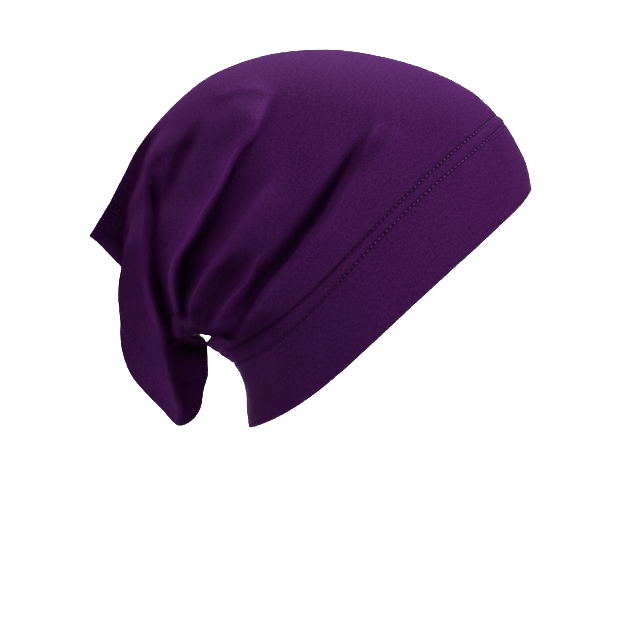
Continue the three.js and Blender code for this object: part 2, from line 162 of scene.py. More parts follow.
NEAR_FOLDS: tuple[Fold, ...] = (
    Fold("brow_groove", -17, 6, 4, 0.42, 0.05,
         ((35.5, -42), (28, -51), (23, -59.5), (17.5, -68), (11, -79.5), (4, -90.5), (-4, -102),
          (-11, -110.5), (-19.5, -121.5), (-31.5, -133), (-38.5, -144), (-45.5, -152.5),
          (-50.5, -160), (-54, -168)), crisp=1.7, tone=-0.22),
    Fold("brow_ridge", 5, 3, 15, 0.12, 0.08,
         ((37.5, -41), (31, -50), (26, -59.5), (22, -68), (15, -79.5), (8.5, -90.5), (2, -102),
          (-6.5, -112), (-14, -122.5), (-26, -134.5), (-33, -144), (-39.5, -152.5),
          (-45.5, -160.5)), lean=-3, crisp=1.6, tone=0.35),
    Fold("brow_crease", -2.4, 2.8, 3.5, 0.4, 0.4,
         ((41.5, -44), (33, -57), (23.6, -71.3), (15, -87)), tone=-0.55),
    Fold("panel_arc", 3, 3.5, 12, 0.35, 0.3,
         ((-66, -33), (-53, -25.5), (-37, -23.5), (-20, -29.5)), crisp=1.8, tone=0.3),
    Fold("panel_hollow", -5, 10, 12, 0.4, 0.35,
         ((-46, -36), (-58, -58), (-70, -84), (-80, -108))),
    Fold("pocket", -17, 3, 12, 0.5, 0.25,
         ((-37.5, -51), (-44, -59.5), (-50, -72), (-56, -86), (-61.5, -97.5), (-68.5, -108),
          (-75, -118), (-78, -130), (-78, -141.5), (-77, -151)), tone=-0.35),
    # panel_shade moves the cloth by 0.3 mm only: it is there for its painted shade.
    Fold("panel_shade", -0.3, 2, 4.5, 0.4, 0.12,
         ((-51, -80), (-57.5, -90.5), (-62.6, -99), (-67.5, -107.5), (-77.3, -115.9),
          (-79.3, -124.4), (-80.7, -132.8), (-80.7, -141.3), (-78.4, -149.8)), tone=-0.45),
    # strap_light moves the cloth by 0.3 mm only: it is there for its painted highlight.
    Fold("strap_light", 0.3, 3, 3, 0.3, 0.2,
         ((-88, -116), (-88.5, -124), (-88.8, -133), (-88, -141), (-86, -149), (-83, -155)),
         tone=0.9, strip=3.0),
    Fold("pocket_foot", -13, 3, 7, 0.35, 0.12,
         ((-69, -108), (-75.5, -118), (-78.5, -130), (-79, -141.5), (-78, -148.5), (-76, -155)),
         crisp=1.7, tone=-0.2),
    Fold("mid_ridge", 9, 6, 8, 0.3, 0.04,
         ((-16, -64), (-25, -76.5), (-34, -86), (-45, -99), (-52, -110.5), (-60.5, -122.5),
          (-66.5, -133), (-72.5, -144), (-73.5, -152.5), (-71.5, -160), (-69, -168)),
         lean=-2, crisp=1.7, tone=0.5, strip=4.5),
    Fold("mid_foot", 7, 3.5, 5, 0.3, 0.04,
         ((-60.5, -122.5), (-66.5, -133), (-72.5, -144), (-73.5, -152.5), (-71.5, -160),
          (-69, -168))),
    Fold("mid_groove", -17, 4.5, 6, 0.25, 0.04,
         ((-36, -107), (-47.5, -121.5), (-58.5, -133), (-65, -144), (-67, -152.5), (-67.5, -161),
          (-66, -169)), tone=-0.6),
    Fold("inner_ridge", 6.5, 4, 2.6, 0.35, 0.04,
         ((-32.5, -116), (-36, -122.5), (-40.5, -133.5), (-51, -144), (-57, -152.5),
          (-60.5, -160), (-62.5, -169)), crisp=1.7, tone=0.35),
    Fold("panel_ridge", 12, 16, 2.4, 0.15, 0.08, PANEL_CREST, lean=4, crisp=1.6, tone=0.9),
    Fold("panel_edge", 3.5, 6, 1.6, 0.15, 0.08, PANEL_CREST, lean=1, crisp=1.5),
    Fold("upper_groove", -9, 4, 5, 0.3, 0.4,
         ((-67.5, -40), (-74.5, -54), (-81, -65), (-85.5, -76.5), (-88.5, -87.5), (-91.5, -98)),
         crisp=1.8, tone=-0.7),
    Fold("flap_groove", -18, 2.6, 4, 0.12, 0.08,
         ((-95.5, -71), (-95, -87.5), (-95, -100), (-95.5, -111.5), (-96, -121.5), (-96, -133),
          (-94.2, -144), (-91.8, -152.5), (-88.5, -161), (-85, -169.5)), crisp=1.8, tone=-0.6),
    Fold("strap_groove", -14, 3, 3.5, 0.3, 0.08,
         ((-97, -120.5), (-96.5, -133), (-95, -144), (-92.3, -152.5), (-89, -161),
          (-86, -169.5)),
         crisp=1.8, tone=-0.5),
    Fold("flap_ridge", 8, 9, 2.6, 0.2, 0.02,
         ((-60, -27.5), (-79, -51), (-96, -68), (-99, -82), (-99.5, -99), (-100.5, -116),
          (-98.5, -133), (-96, -144), (-93.5, -155.5), (-89.5, -169.5), (-87, -183.5),
          (-83.5, -200.5), (-79, -209)), lean=2, crisp=1.7, tone=0.15),
    Fold("flap_pleat", 2.2, 2, 3, 0.3, 0.3,
         ((-97, -66), (-102, -83), (-104, -105), (-105, -130)), crisp=1.8, tone=0.15),
    Fold("flap_back", 4, 2.5, 9, 0.2, 0.15,
         ((-83, -40), (-93.5, -55), (-98.5, -65), (-102, -76.5), (-106, -87.5), (-108.5, -99),
          (-110.5, -110.5), (-113, -122.5)), lean=-2, crisp=1.7, tone=0.05),
    Fold("flap_edge", -14, 17.5, 3, 0.2, 0.15,
         ((-87.5, -40), (-98, -55), (-103, -65), (-106.5, -76.5), (-110.5, -87.5), (-113, -99),
          (-115, -110.5), (-117.5, -122.5)), tone=-0.7),
    Fold("knob_ridge", 4, 6, 3, 0.2, 0.25,
         ((-84.5, -153), (-79, -157), (-75.5, -159), (-73.5, -161.5)), tone=1),
    Fold("knob_edge", -9, 9, 2.2, 0.3, 0.3,
         ((-90, -171), (-84, -171), (-78, -168.5), (-73.5, -163), (-72, -156)), crisp=1.6),
    Fold("lobe_ridge", 4, 6, 5, 0.5, 0.1,
         ((-22, -136), (-37.2, -146.4), (-47.7, -155.4), (-61.5, -166.1)), tone=0.3),
    Fold("lobe_groove", -8, 4, 8, 0.5, 0.1,
         ((-16, -142), (-29.9, -154.3), (-41.7, -165), (-54, -175.5)), tone=-0.3),
)

# These tones too are painted shade and painted highlights.
FAR_FOLDS: tuple[Fold, ...] = (
    Fold("far_brow_groove", -11, 15, 4, 0.3, 0.1,
         ((22, -50), (4, -82), (-20, -116), (-44, -142), (-61, -160.5)), tone=-0.35),
    Fold("far_mid_ridge", 6, 10, 7, 0.35, 0.12,
         ((-12, -54), (-34, -86), (-54, -116), (-69, -140), (-75, -159)), tone=0.3),
    Fold("far_mid_groove", -10, 4, 9, 0.35, 0.15,
         ((-8, -66), (-28, -96), (-48, -124), (-63, -145), (-70, -158)), tone=-0.3),
    Fold("far_panel_ridge", 8, 16, 3.5, 0.25, 0.1,
         ((-40, -24), (-62, -54), (-77, -90), (-85, -124), (-80, -156)), lean=3, crisp=1.7, tone=0.5),
    Fold("far_pocket", -12, 4, 9, 0.35, 0.12,
         ((-34, -36), (-56, -68), (-70, -98), (-78, -128), (-77.5, -154)), tone=-0.45),
    Fold("far_flap_groove", -10, 6, 8, 0.25, 0.5,
         ((-90, -62), (-99, -90), (-100, -118), (-95, -144), (-86, -163)), tone=-0.4),
    Fold("far_flap_ridge", 7, 9, 4, 0.25, 0.05,
         ((-96, -60), (-106, -90), (-107, -120), (-101, -150), (-92, -182), (-84, -204)), tone=0.2),
    Fold("far_lobe_ridge", 3.5, 5, 5, 0.4, 0.1,
         ((-32, -150), (-50, -163), (-65, -168)), tone=0.2),
    Fold("far_lobe_groove", -4, 4, 7, 0.4, 0.1,
         ((-22, -157), (-40, -169), (-55, -177)), tone=-0.2),
)

PULLS: tuple[Pull, ...] = (
    Pull("near_brow", 0, 24, 1.2, 16, (0, 0, -1.5)),
    Pull("far_brow", 0, -24, 1.2, 16, (0, 0, -1.5)),
    Pull("near_tip", 14, 156, 1.1, 22, (5, -3, -18.5)),
    Pull("far_tip", 14, -152, 1, 14, (7, 0, 11)),
    Pull("hem_turn", 14, 45, 1.2, 22, (0, 14, 0)),
    Pull("hem_fold", 12.7, 76, 1, 30, (-9.5, -1, 0)),
    Pull("rim_tuck", 13.6, 60, 0.9, 20, (8, 12, 0)),
    Pull("knob", 9.8, 160, 0.8, 14, (3, -21, -5)),
    Pull("gather", 7, 157, 1.3, 13, (0, -4, -1)),
    # underside moves no cloth: it is painted shade alone.
    Pull("underside", 7.3, 168, 1.2, 9, (0, 0, 0), 1.0),
    Pull("rim_round", 14, 172, 0.9, 14, (4.5, 0, -3.5)),
    Pull("hem_line", 13, 118, 0.6, 18, (0, 0, 7)),
    Pull("near_corner", 13.6, 58, 2, 24, (0, -4, -6)),
    Pull("tail_cleft", 12.2, 164, 2.3, 20, (-19, 8, 4)),
    # recess moves the cloth a little and lays painted shade in it.
    Pull("recess", 11.7, 184, 0.55, 26, (0, 4, 0), 1.0),
    Pull("far_edge", 11.6, -158, 2.4, 15, (7, 0, 0)),
    Pull("near_knob", 9.8, 142, 1, 20, (0, -5, -4)),
    Pull("far_knob", 9.8, -144, 1, 20, (0, 4, -3)),
    Pull("nape_line", 1.7, 180, 0.6, 25, (2.5, 0, 0)),
    # nape_shade moves no cloth: it is painted shade alone.
    Pull("nape_shade", 3.5, 140, 1.2, 17, (0, 0, 0), 0.4),
    # nape_puff moves the cloth and lays painted shade on it.
    Pull("nape_puff", 0.6, -166, 0.5, 10, (-3, 3, -1), 0.8),
)


def ease(x: np.ndarray) -> np.ndarray:
    """A smooth step from 0 at 0 to 1 at 1."""
    x = np.clip(x, 0, 1)
    return x * x * (3 - 2 * x)


def unit(vectors: np.ndarray) -> np.ndarray:
    """The same vectors, one long each."""
    return vectors / np.maximum(np.linalg.norm(vectors, axis=-1, keepdims=True), 1e-12)


def through(values: np.ndarray, t: np.ndarray) -> np.ndarray:
    """Follow a smooth curve through equally spaced values.

    Args:
        values: one value, or one row of values, for each whole number from 0.
        t: fractional places on the curve.

    Returns:
        The curve's values at t, as Catmull-Rom with straight run-outs at both ends.
    """
    values = np.asarray(values, float)
    last = len(values) - 1
    t = np.clip(np.asarray(t, float), 0, last)
    i = np.minimum(t.astype(int), last - 1)
    f = (t - i).reshape(t.shape + (1,) * (values.ndim - 1))
    b, c = values[i], values[i + 1]
    a = np.where((i > 0).reshape(f.shape), values[np.maximum(i - 1, 0)], 2 * b - c)
    d = np.where((i < last - 1).reshape(f.shape), values[np.minimum(i + 2, last)], 2 * c - b)
    bend = 2 * a - 5 * b + 4 * c - d
    twist = 3 * b - a - 3 * c + d
    return 0.5 * (2 * b + (c - a) * f + bend * f**2 + twist * f**3)


def even_wave(values: list[np.ndarray], angle: np.ndarray) -> np.ndarray:
    """Interpolate round half of the tube.

    Args:
        values: the values wanted at equal steps from 0 to 180 degrees, each a grid.
        angle: the angle at each point of the grid.

    Returns:
        The smooth even wave of the angle that takes those values.
    """
    last = len(values) - 1
    total = np.zeros_like(angle)
    for k in range(last + 1):
        weight = np.zeros_like(angle)
        for j, value in enumerate(values):
            share = 0.5 if j in (0, last) else 1.0
            weight = weight + share * value * math.cos(math.pi * k * j / last)
        share = 0.5 if k in (0, last) else 1.0
        total = total + 2 / last * share * weight * np.cos(k * angle)
    return total


def grid_normals(points: np.ndarray) -> np.ndarray:
    """Find the outward normals of a grid of points.

    Args:
        points: the grid, whose rows run round the tube and close.

    Returns:
        A unit vector for each point.
    """
    along = np.gradient(points, axis=0)
    around = np.roll(points, -1, axis=1) - np.roll(points, 1, axis=1)
    return unit(np.cross(along, around))


@dataclass
class ClothTube:
    """The whole tube of cloth, from the front rim to the tail's rim, in millimetres.

    Each row of stitches is a place along the tube and how strongly it draws the cloth in. It
    paints shade into its groove by stitch_shade, and less so low down, as the levels and shares say.
    """

    sections: tuple[Section, ...] = SECTIONS
    folds: dict[Side, tuple[Fold, ...]] = field(
        default_factory=lambda: {Side.NEAR: NEAR_FOLDS, Side.FAR: FAR_FOLDS}
    )
    pulls: tuple[Pull, ...] = PULLS
    path_steps: int = 48
    lean_reach: float = 6.0
    centre_fade: float = 0.45
    least_share: float = 0.5
    stitch_rows: tuple[tuple[float, float], ...] = (
        (BAND_STITCH, 1.0), (BAND_SEAM, 1.0), (TAIL_SEAM, 0.4))
    stitch_depth: float = 0.55
    stitch_width: float = 0.9
    stitch_shade: float = 0.85
    stitch_levels: tuple[float, float] = (-165, -130)
    stitch_shares: tuple[float, float] = (0.35, 1.0)

    def table(self) -> np.ndarray:
        """The sections as rows of numbers."""
        return np.array([(*s.top, *s.foot, *s.bows, s.half_width, s.low, s.shift)
                         for s in self.sections], float)

    def smooth(self, places: np.ndarray, angles: np.ndarray) -> np.ndarray:
        """Loft the tube without folds and pulls.

        Args:
            places: section numbers, with fractions, on a grid.
            angles: angles round the tube from its top, on the same grid.

        Returns:
            The grid's points.
        """
        row = through(self.table(), places)
        top_x, top_z, foot_x, foot_z, bow45, bow90, bow135, half_width, low, shift = (
            row[..., k] for k in range(row.shape[-1]))
        down = (1 - np.cos(angles)) / 2
        chord_x = foot_x - top_x
        chord_z = foot_z - top_z
        length = np.hypot(chord_x, chord_z)
        zero = np.zeros_like(bow45)
        bow = even_wave([zero, bow45, bow90, bow135, zero], angles)
        x = top_x + chord_x * down + bow * chord_z / length
        z = top_z + chord_z * down - bow * chord_x / length
        y = -half_width * np.sin(angles) * (1 - low * np.cos(angles)) + shift * (1 - down)
        return np.stack([x, y, z], axis=-1)

    def pulled(self, places: np.ndarray, angles: np.ndarray) -> np.ndarray:
        """Loft the tube with its pulls, still without folds.

        Args:
            places: section numbers, with fractions, on a grid.
            angles: angles round the tube from its top, on the same grid.

        Returns:
            The grid's points.
        """
        points = self.smooth(places, angles)
        for pull in self.pulls:
            points += self.pull_share(pull, places, angles)[..., None] * np.array(pull.by)
        return points

    def pull_share(self, pull: Pull, places: np.ndarray, angles: np.ndarray) -> np.ndarray:
        """How much of a pull there is at each place and angle, up to 1."""
        turn = (np.degrees(angles) - pull.angle + 180) % 360 - 180
        return np.exp(-((places - pull.section) / pull.along) ** 2 - (turn / pull.round) ** 2)

    def fade(self, fold: Fold, along: np.ndarray) -> np.ndarray:
        """How much of a fold there is at each share of its path."""
        return ease(along / fold.fade_in) * ease((1 - along) / fold.fade_out)

    def base_path(self, fold: Fold) -> np.ndarray:
        """Find where a fold's crest starts from, so that its lean takes it to the fold's path.

        Args:
            fold: the fold.

        Returns:
            Points of the side view, path_steps + 1 of them.
        """
        share = np.linspace(0, 1, self.path_steps + 1)
        path = through(np.array(fold.path), share * (len(fold.path) - 1))
        step = unit(np.gradient(path, axis=0))
        front = np.stack([-step[:, 1], step[:, 0]], axis=-1)
        return path - front * (fold.lean * self.fade(fold, share))[:, None]

    def fold_move(self, fold: Fold, points: np.ndarray) -> tuple[np.ndarray, ...]:
        """Find one fold's share in the shape at points of the side view.

        Args:
            fold: the fold.
            points: a grid of points of the tube.

        Returns:
            Its height at each point, its sideways lean in x and z, and how near its crest is, for the
            painted highlight.
        """
        path = self.base_path(fold)
        shape = points.shape[:-1]
        best = np.full(shape, np.inf)
        along = np.zeros(shape)
        behind = np.zeros(shape, bool)
        ahead = np.zeros((*shape, 2))
        for i in range(self.path_steps):
            step = path[i + 1] - path[i]
            rel_x = points[..., 0] - path[i, 0]
            rel_z = points[..., 2] - path[i, 1]
            share = np.clip((rel_x * step[0] + rel_z * step[1]) / (step @ step), 0, 1)
            gap = np.hypot(rel_x - share * step[0], rel_z - share * step[1])
            closer = gap < best
            best = np.where(closer, gap, best)
            along = np.where(closer, (i + share) / self.path_steps, along)
            behind = np.where(closer, step[0] * rel_z - step[1] * rel_x < 0, behind)
            front = np.array([-step[1], step[0]]) / np.linalg.norm(step)
            ahead = np.where(closer[..., None], front, ahead)
        width = np.where(behind, fold.rear, fold.front)
        power = np.where(width == min(fold.rear, fold.front), fold.crisp, 2.0)
        fade = self.fade(fold, along)
        profile = np.exp(-((best / width) ** power)) * fade
        lean = fold.lean * np.exp(-((best / self.lean_reach) ** 2)) * fade
        # How far the painted highlight reaches to either side of the crest.
        strip = np.exp(-((best / fold.strip) ** 2)) * fade
        return fold.height * profile, lean[..., None] * ahead, strip

    def cloth(self, places: np.ndarray, angles: np.ndarray) -> tuple[np.ndarray, np.ndarray]:
        """Shape the finished outer face.

        Args:
            places: section numbers along the tube, in rising order.
            angles: angles round it, in rising order.

        Returns:
            A grid of points, one row for each place, and for each its painted highlight on a crest,
            to 1, or its painted shade in a fold, under a pull or along a row of stitches, down to -1.
        """
        place_grid, angle_grid = np.meshgrid(places, angles, indexing="ij")
        points = self.pulled(place_grid, angle_grid)
        outward = grid_normals(points)[..., 1]
        height = np.zeros(points.shape[:-1])
        lean = np.zeros((*points.shape[:-1], 2))
        crest = np.zeros(points.shape[:-1])
        sink = np.zeros(points.shape[:-1])
        for side, folds in self.folds.items():
            mine = np.sign(-np.sin(angle_grid)) == side.value
            for fold in folds:
                up, over, strip = self.fold_move(fold, points)
                height += np.where(mine, up, 0)
                lean += np.where(mine[..., None], over, 0)
                # A ridge's tone paints a highlight along its crest, a groove's paints shade into it.
                if fold.tone > 0:
                    crest = np.maximum(crest, np.where(mine, fold.tone * strip, 0))
                else:
                    sink -= np.where(mine, fold.tone * up / fold.height, 0)
        fade = ease(np.abs(np.sin(angle_grid)) / self.centre_fade)
        share = self.least_share * np.sign(outward) + (1 - self.least_share) * outward
        moved = points.copy()
        moved[..., 1] += share * height * fade
        moved[..., 0] += lean[..., 0] * fade
        moved[..., 2] += lean[..., 1] * fade
        # Painted shade from the folds' grooves, the pulls and the rows of stitches.
        painted_shade = sink * fade
        for pull in self.pulls:
            painted_shade += pull.painted_shade * self.pull_share(pull, place_grid, angle_grid)
        dimple = self.stitch_dimples(places, moved)
        # The rows of stitches add painted shade along their grooves, less of it low down.
        sunk = np.linalg.norm(dimple, axis=-1) / self.stitch_depth
        seen = np.interp(moved[..., 2], self.stitch_levels, self.stitch_shares)
        painted_shade += self.stitch_shade * sunk * seen
        return moved + dimple, np.clip(crest * fade - painted_shade, -1, 1)

    def stitch_dimples(self, places: np.ndarray, points: np.ndarray) -> np.ndarray:
        """Sink the cloth along each row of stitches.

        Args:
            places: section numbers along the tube, in rising order.
            points: the cloth's points, one row for each place.

        Returns:
            The move of each point.
        """
        run = np.linalg.norm(np.diff(points, axis=0), axis=-1)
        reach = np.vstack([np.zeros(points.shape[1]), np.cumsum(run, axis=0)])
        depth = np.zeros(points.shape[:-1])
        for place, pull in self.stitch_rows:
            if not places[0] <= place <= places[-1]:
                continue
            at = np.array([np.interp(place, places, column) for column in reach.T])
            depth += pull * np.exp(-(((reach - at) / self.stitch_width) ** 2))
        return -grid_normals(points) * (self.stitch_depth * depth)[..., None]


def new_object(name: str, verts: np.ndarray, faces: list[list[int]]) -> bpy.types.Object:
    """Make a smooth-shaded mesh object at the origin.

    Args:
        name: the object's name.
        verts: its corners, in metres.
        faces: the corner numbers of each face.

    Returns:
        The object, linked to the scene.
    """
    mesh = bpy.data.meshes.new(name)
    mesh.from_pydata(verts.tolist(), [], faces)
    mesh.polygons.foreach_set("use_smooth", [True] * len(mesh.polygons))
    mesh.update()
    piece = bpy.data.objects.new(name, mesh)
    bpy.context.scene.collection.objects.link(piece)
    return piece


def ring_faces(rows: int, columns: int) -> list[list[int]]:
    """List the quads of a grid that closes both ways.

    Args:
        rows: how many rows it has.
        columns: how many points a row has.

    Returns:
        Four corner numbers for each quad.
    """
    i, j = np.meshgrid(np.arange(rows), np.arange(columns), indexing="ij")
    below = (i + 1) % rows
    after = (j + 1) % columns
    quads = [i * columns + j, below * columns + j, below * columns + after, i * columns + after]
    return np.stack(quads, axis=-1).reshape(-1, 4).tolist()


class NodeBuilder:
    """Adds shader nodes to a tree and links them."""

    def __init__(self, tree: bpy.types.NodeTree) -> None:
        """Work on that tree."""
        self.tree = tree

    def put(self, socket: bpy.types.NodeSocket, value: object) -> None:
        """Feed an input.

        Args:
            socket: the input.
            value: an output to link to it, or its constant.
        """
        if isinstance(value, bpy.types.NodeSocket):
            self.tree.links.new(value, socket)
        else:
            socket.default_value = value

    def add(self, kind: str, inputs: dict[str, object]) -> bpy.types.Node:
        """Add a node.

        Args:
            kind: its type.
            inputs: what its named inputs get.

        Returns:
            The node.
        """
        node = self.tree.nodes.new(kind)
        for name, value in inputs.items():
            self.put(node.inputs[name], value)
        return node

    def calc(self, operation: str, *values: object, clamp: bool = False) -> bpy.types.NodeSocket:
        """Add a math node.

        Args:
            operation: the node's operation.
            values: numbers, or sockets to link.
            clamp: whether the result stays between 0 and 1.

        Returns:
            Its output.
        """
        node = self.tree.nodes.new("ShaderNodeMath")
        node.operation = operation
        node.use_clamp = clamp
        for socket, value in zip(node.inputs, values):
            self.put(socket, value)
        return node.outputs[0]

    def noise(self, vector: bpy.types.NodeSocket, scale: float, detail: float,
              roughness: float) -> bpy.types.NodeSocket:
        """Add a noise texture.

        Args:
            vector: where it is read.
            scale: features to a metre.
            detail: its octaves.
            roughness: how strong the finer octaves are.

        Returns:
            Its value.
        """
        return self.add("ShaderNodeTexNoise", {
            "Vector": vector, "Scale": scale, "Detail": detail, "Roughness": roughness,
        }).outputs["Fac"]

    def blend(self, share: bpy.types.NodeSocket, first: object, second: object,
              mode: str = "MIX") -> bpy.types.NodeSocket:
        """Blend two colours.

        Args:
            share: how much of the second there is.
            first: a colour, or a socket.
            second: a colour, or a socket.
            mode: the blend type.

        Returns:
            The blended colour.
        """
        node = self.tree.nodes.new("ShaderNodeMix")
        node.data_type = "RGBA"
        node.blend_type = mode
        for name, value in (("Factor", share), ("A", first), ("B", second)):
            self.put(node.inputs[name], value)
        return node.outputs["Result"]


@dataclass(frozen=True)
class JerseyKnit:
    """The knit that every jersey finish shares.

    Its scales count features to a metre, and wander is how many wales the lines stray by.
    """

    name: str = "jersey_knit"
    wale: float = 0.62 * MM
    course: float = 0.5 * MM
    wander_scale: float = 160.0
    wander_detail: float = 2.0
    wander_roughness: float = 0.6
    wander: float = 1.6
    loop_share: float = 0.45
    grain_stretch: tuple[float, float, float] = (1.0, 0.8, 1.0)
    grain_scales: tuple[float, float] = (1900.0, 900.0)
    grain_detail: float = 2.0
    grain_roughness: float = 0.7
    patch_scale: float = 34.0
    patch_detail: float = 3.0
    patch_roughness: float = 0.5

    def group(self) -> bpy.types.NodeTree:
        """Build the node group, or find it if it is there.

        Returns:
            A group that reads cloth coordinates in metres and gives the height of the loops, the
            heather's mottling and the soft large patches of a worn cloth, each from 0 to 1.
        """
        found = bpy.data.node_groups.get(self.name)
        if found:
            return found
        tree = bpy.data.node_groups.new(self.name, "ShaderNodeTree")
        sockets = tree.interface
        sockets.new_socket("Cloth", in_out="INPUT", socket_type="NodeSocketVector")
        for name, size in (("Wale", self.wale), ("Course", self.course)):
            made = sockets.new_socket(name, in_out="INPUT", socket_type="NodeSocketFloat")
            made.default_value = size
        for name in ("Loops", "Heather", "Patches"):
            sockets.new_socket(name, in_out="OUTPUT", socket_type="NodeSocketFloat")
        entry = tree.nodes.new("NodeGroupInput")
        build = NodeBuilder(tree)
        cloth = entry.outputs["Cloth"]
        loops = self.loops(build, cloth, entry.outputs["Wale"], entry.outputs["Course"])
        patches = build.noise(cloth, self.patch_scale, self.patch_detail, self.patch_roughness)
        build.add("NodeGroupOutput", {
            "Loops": loops, "Heather": self.heather(build, cloth), "Patches": patches})
        return tree

    def loops(self, build: NodeBuilder, cloth: bpy.types.NodeSocket, wale: bpy.types.NodeSocket,
              course: bpy.types.NodeSocket) -> bpy.types.NodeSocket:
        """Add the ribs of the wales, with chevron loops along them.

        Args:
            build: the group's builder.
            cloth: cloth coordinates.
            wale: the width of a wale.
            course: the height of a loop.

        Returns:
            Their height.
        """
        split = build.add("ShaderNodeSeparateXYZ", {"Vector": cloth})
        wander = build.noise(cloth, self.wander_scale, self.wander_detail, self.wander_roughness)
        across = build.calc("DIVIDE", split.outputs["X"], wale)
        across = build.calc("ADD", across, build.calc("MULTIPLY", wander, self.wander))
        place = build.calc("FRACT", across)
        off_centre = build.calc("ABSOLUTE", build.calc("SUBTRACT", place, 0.5))
        rib = build.calc("SINE", build.calc("MULTIPLY", place, math.pi))
        up = build.calc("DIVIDE", split.outputs["Y"], course)
        phase = build.calc("ADD", up, off_centre)
        loop = build.calc("SINE", build.calc("MULTIPLY", phase, 2 * math.pi))
        loop = build.calc("MULTIPLY_ADD", loop, 0.5, 0.5)
        rib = build.calc("MULTIPLY", rib, 1 - self.loop_share)
        return build.calc("MULTIPLY_ADD", loop, self.loop_share, rib)

    def heather(self, build: NodeBuilder, cloth: bpy.types.NodeSocket) -> bpy.types.NodeSocket:
        """Add the mottling of mixed fibres, a little longer along the wales.

        Args:
            build: the group's builder.
            cloth: cloth coordinates.

        Returns:
            Its value.
        """
        stretch = build.add("ShaderNodeMapping", {"Vector": cloth, "Scale": self.grain_stretch})
        fine, broad = (
            build.noise(stretch.outputs["Vector"], scale, self.grain_detail, self.grain_roughness)
            for scale in self.grain_scales)
        return build.calc("MULTIPLY_ADD", fine, 0.5, build.calc("MULTIPLY", broad, 0.5))


@dataclass(frozen=True)
class JerseyFinish:
    """A fine single jersey: its colours, sheen and the size of its loops.

    The tints multiply its colour as painted shade deep in a fold and as painted highlight on a crest.
    The nap is the mottling's bump.
    """

    name: str
    knit: JerseyKnit = JerseyKnit()
    dark: tuple[float, float, float] = (0.034, 0.0045, 0.05)
    pale: tuple[float, float, float] = (0.1, 0.017, 0.135)
    grain_limits: tuple[float, float] = (0.44, 0.56)
    patch_share: float = 0.35
    painted_shade_tint: tuple[float, float, float] = (0.22, 0.15, 0.17)
    painted_highlight_tint: tuple[float, float, float] = (1.7, 1.7, 1.7)
    wale: float = 0.62 * MM
    course: float = 0.496 * MM
    loop_height: float = 0.09 * MM
    nap_height: float = 0.135 * MM
    nap_strength: float = 0.8
    roughness: float = 0.78
    specular: float = 0.02
    sheen: float = 0.08
    sheen_roughness: float = 0.35
    sheen_tint: tuple[float, float, float] = (0.75, 0.08, 0.85)

    def material(self) -> bpy.types.Material:
        """Build the shader.

        Returns:
            The material.
        """
        material = bpy.data.materials.new(self.name)
        material.use_nodes = True
        build = NodeBuilder(material.node_tree)
        shader = material.node_tree.nodes["Principled BSDF"]
        coordinates = material.node_tree.nodes.new("ShaderNodeUVMap")
        coordinates.uv_map = "cloth"
        knit = material.node_tree.nodes.new("ShaderNodeGroup")
        knit.node_tree = self.knit.group()
        build.put(knit.inputs["Cloth"], coordinates.outputs["UV"])
        knit.inputs["Wale"].default_value = self.wale
        knit.inputs["Course"].default_value = self.course
        loops = build.add("ShaderNodeBump", {
            "Height": knit.outputs["Loops"], "Distance": self.loop_height, "Strength": 1.0})
        nap = build.add("ShaderNodeBump", {
            "Height": knit.outputs["Heather"], "Distance": self.nap_height,
            "Strength": self.nap_strength, "Normal": loops.outputs["Normal"]})
        build.put(shader.inputs["Base Color"], self.colour(build, knit))
        build.put(shader.inputs["Normal"], nap.outputs["Normal"])
        shader.inputs["Roughness"].default_value = self.roughness
        shader.inputs["Specular IOR Level"].default_value = self.specular
        shader.inputs["Sheen Weight"].default_value = self.sheen
        shader.inputs["Sheen Roughness"].default_value = self.sheen_roughness
        shader.inputs["Sheen Tint"].default_value = (*self.sheen_tint, 1)
        return material

    def colour(self, build: NodeBuilder, knit: bpy.types.Node) -> bpy.types.NodeSocket:
        """Mix the mottled colour, with painted shade in the folds and painted highlight on their
        crests.

        Args:
            build: the material's builder.
            knit: the knit's group node.

        Returns:
            The colour.
        """
        least, most = self.grain_limits
        grain = build.add("ShaderNodeMapRange", {
            "Value": knit.outputs["Heather"], "From Min": least, "From Max": most})
        patch = build.calc("MULTIPLY", knit.outputs["Patches"], self.patch_share)
        share = build.calc("MULTIPLY_ADD", grain.outputs["Result"], 1 - self.patch_share, patch)
        colour = build.blend(share, (*self.dark, 1), (*self.pale, 1))
        painted_shade_and_highlight = build.tree.nodes.new("ShaderNodeAttribute")
        painted_shade_and_highlight.attribute_name = "painted_shade_and_highlight"
        # Painted shade where the attribute is below 0, painted highlight where it is above 0.
        for sign, tint in ((-1, self.painted_shade_tint), (1, self.painted_highlight_tint)):
            share = build.calc("MULTIPLY", painted_shade_and_highlight.outputs["Fac"], sign, clamp=True)
            colour = build.blend(share, colour, (*tint, 1), "MULTIPLY")
        return colour


@dataclass(frozen=True)
class ThreadFinish:
    """Lavender sewing thread with a fine twist."""

    name: str
    colour: tuple[float, float, float] = (0.38, 0.11, 0.56)
    shade: float = 0.45
    twist_scale: float = 2600.0
    twist_depth: float = 0.05 * MM
    roughness: float = 0.6
    specular: float = 0.2

    def material(self) -> bpy.types.Material:
        """Build the shader.

        Returns:
            The material.
        """
        material = bpy.data.materials.new(self.name)
        material.use_nodes = True
        build = NodeBuilder(material.node_tree)
        shader = material.node_tree.nodes["Principled BSDF"]
        place = build.add("ShaderNodeTexCoord", {})
        twist = build.add("ShaderNodeTexNoise", {
            "Vector": place.outputs["Object"], "Scale": self.twist_scale}).outputs["Fac"]
        dark = tuple(self.shade * part for part in self.colour)
        colour = build.blend(twist, (*dark, 1), (*self.colour, 1))
        bump = build.add("ShaderNodeBump", {"Height": twist, "Distance": self.twist_depth})
        build.put(shader.inputs["Base Color"], colour)
        build.put(shader.inputs["Normal"], bump.outputs["Normal"])
        shader.inputs["Roughness"].default_value = self.roughness
        shader.inputs["Specular IOR Level"].default_value = self.specular
        return material


